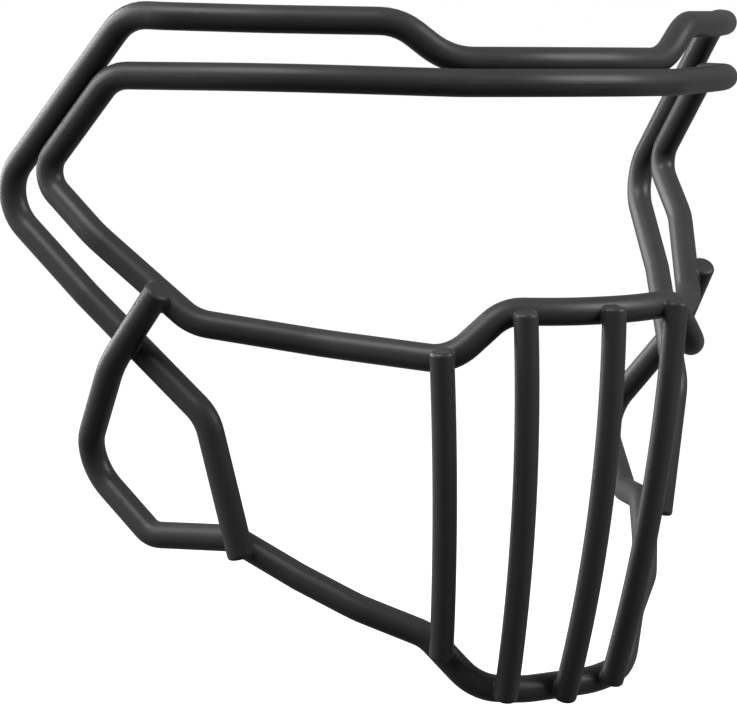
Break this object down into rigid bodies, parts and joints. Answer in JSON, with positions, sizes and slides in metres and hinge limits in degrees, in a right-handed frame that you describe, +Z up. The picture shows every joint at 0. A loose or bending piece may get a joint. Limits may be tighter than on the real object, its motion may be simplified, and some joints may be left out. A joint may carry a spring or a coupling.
{
  "type": "football helmet facemask",
  "caption": "Coated wire cage for the front of a football helmet: an open eye window over upright bars in front of the mouth, with looped sides that clips hold.",
  "frame": {"origin": "middle of the brow wire, in the bottom of its dip, on the wire's centre line, where the helmet's top clip holds it", "axes": "+Z up, -Y the way the wearer looks, +X to the wearer's left"},
  "size_m": [0.2322, 0.1356, 0.1902],
  "materials": {
    "coated_wire": "satin"
  },
  "bodies": {
    "root": {"eye_hoop": "coated_wire", "jaw_hoop": "coated_wire", "outer_hoop": "coated_wire", "outer_bar": "coated_wire", "right_bar": "coated_wire", "centre_bar": "coated_wire", "left_bar": "coated_wire", "outer_bar_top_weld": "coated_wire", "outer_bar_foot_weld": "coated_wire", "right_bar_top_weld": "coated_wire", "right_bar_foot_weld": "coated_wire", "centre_bar_top_weld": "coated_wire", "centre_bar_foot_weld": "coated_wire", "left_bar_top_weld": "coated_wire", "left_bar_foot_weld": "coated_wire", "cheek_weld_left": "coated_wire", "cheek_weld_right": "coated_wire", "crossing_weld_left": "coated_wire", "crossing_weld_right": "coated_wire", "jaw_weld_left": "coated_wire", "jaw_weld_right": "coated_wire", "side_lap_weld_left": "coated_wire", "side_lap_weld_right": "coated_wire", "brow_lap_weld_left": "coated_wire", "brow_lap_weld_right": "coated_wire"}
  },
  "joints": []
}
